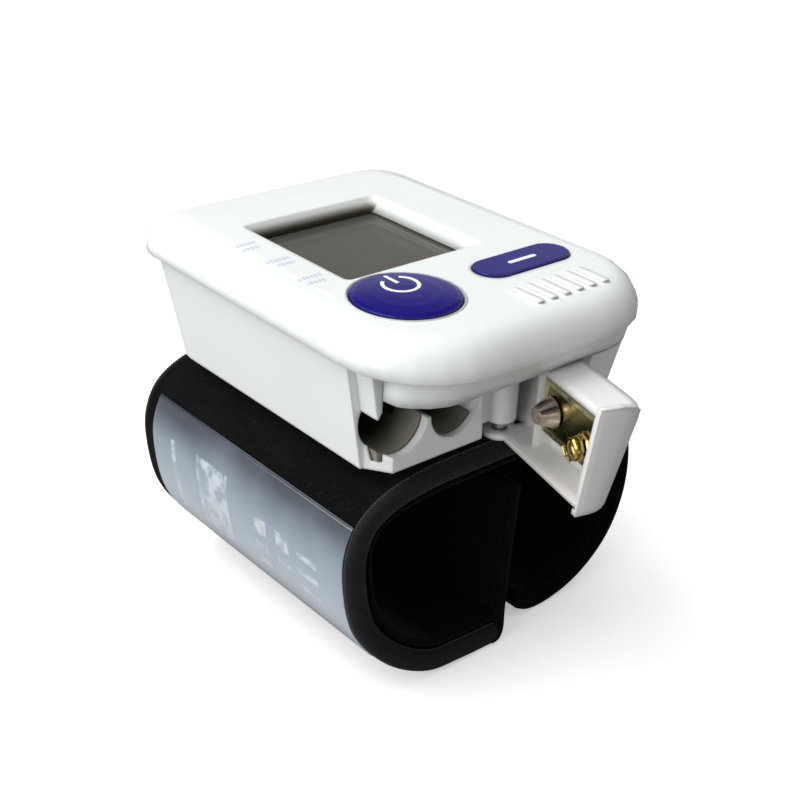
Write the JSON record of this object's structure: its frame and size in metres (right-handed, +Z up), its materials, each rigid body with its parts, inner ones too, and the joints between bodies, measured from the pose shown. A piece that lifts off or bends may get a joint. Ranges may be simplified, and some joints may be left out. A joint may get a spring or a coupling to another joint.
{
  "type": "wrist blood pressure monitor",
  "caption": "White wrist blood pressure monitor on its curled black cuff, with display, round and long button, and a side-hinged battery door standing open.",
  "frame": {"origin": "on the floor at the flat foot of the cuff, under the middle of the housing", "axes": "+X to the right of someone reading the display, +Y away from the reader and along the cuff's tunnel, +Z up out of the display"},
  "size_m": [0.0702, 0.0954, 0.0719],
  "materials": {
    "white_shell": "satin white moulded plastic",
    "blue_button": "dark blue moulded plastic",
    "window": "smoky clear window",
    "lcd": "grey olive display",
    "inner_plastic": "light grey white plastic",
    "board": "green board",
    "black_plastic": "black plastic",
    "brass_contact": "bright plated sheet",
    "steel": "bright steel",
    "hose": "milky soft tube",
    "former": "springy plastic sheet",
    "bladder": "grey film",
    "cuff_cloth": "black loop cloth",
    "film": "clear glossy film over a grey label"
  },
  "bodies": {
    "monitor": {"top_cover": "white_shell", "lower_housing": "white_shell", "display_window": "window", "display_panel": "lcd", "display_frame": "inner_plastic", "main_board": "board", "processor": "black_plastic", "start_switch": "black_plastic", "memory_switch": "black_plastic", "pressure_sensor": "black_plastic", "cell_cradle": "inner_plastic", "back_contact_left": "brass_contact", "back_contact_right": "brass_contact", "back_spring": "steel", "pump_motor": "steel", "pump_head": "black_plastic", "air_valve": "black_plastic", "air_nipple": "hose", "air_hose": "hose", "housing_screw_1": "steel", "housing_screw_2": "steel", "housing_screw_3": "steel", "board_screw_1": "steel", "board_screw_2": "steel", "hinge_pin": "steel", "cuff_plate": "inner_plastic", "buzzer": "black_plastic", "cuff_sleeve": "cuff_cloth", "cuff_former": "former", "cuff_bladder": "bladder", "cuff_lining": "cuff_cloth", "cuff_edge_front": "cuff_cloth", "cuff_edge_back": "cuff_cloth", "cuff_film": "film", "cuff_flap": "cuff_cloth", "cuff_flap_lining": "cuff_cloth"},
    "start_button": {"start_button": "blue_button"},
    "memory_button": {"memory_button": "blue_button"},
    "door": {"battery_door": "white_shell", "door_contact_plate": "brass_contact", "door_contact_cup": "brass_contact", "door_contact_spring": "steel"},
    "cuff_tip": {"cuff_tip": "cuff_cloth", "cuff_tip_lining": "cuff_cloth"},
    "flap_end": {"cuff_flap_end": "cuff_cloth", "cuff_flap_end_lining": "cuff_cloth"}
  },
  "joints": [
    {"name": "start_press", "type": "slide", "parent": "monitor", "child": "start_button", "axis": [0, 0, -1], "range_m": [0, 0.0007], "stiffness_N_per_m": 400, "springref_m": -0.001},
    {"name": "memory_press", "type": "slide", "parent": "monitor", "child": "memory_button", "axis": [0, 0, -1], "range_m": [0, 0.0007], "stiffness_N_per_m": 400, "springref_m": -0.001},
    {"name": "door_swing", "type": "hinge", "parent": "monitor", "child": "door", "pos_m": [0.0035, -0.025, 0.052], "axis": [0, 0, 1], "range_deg": [-75, 12]},
    {"name": "tip_bend", "type": "hinge", "parent": "monitor", "child": "cuff_tip", "pos_m": [0.00377, 0.0032, 0.00785], "axis": [0, 1, 0], "range_deg": [-35, 10], "stiffness_Nm_per_rad": 0.05},
    {"name": "flap_bend", "type": "hinge", "parent": "monitor", "child": "flap_end", "pos_m": [0.03673, 0.0032, 0.02766], "axis": [0, 1, 0], "range_deg": [-50, 10], "stiffness_Nm_per_rad": 0.05}
  ]
}
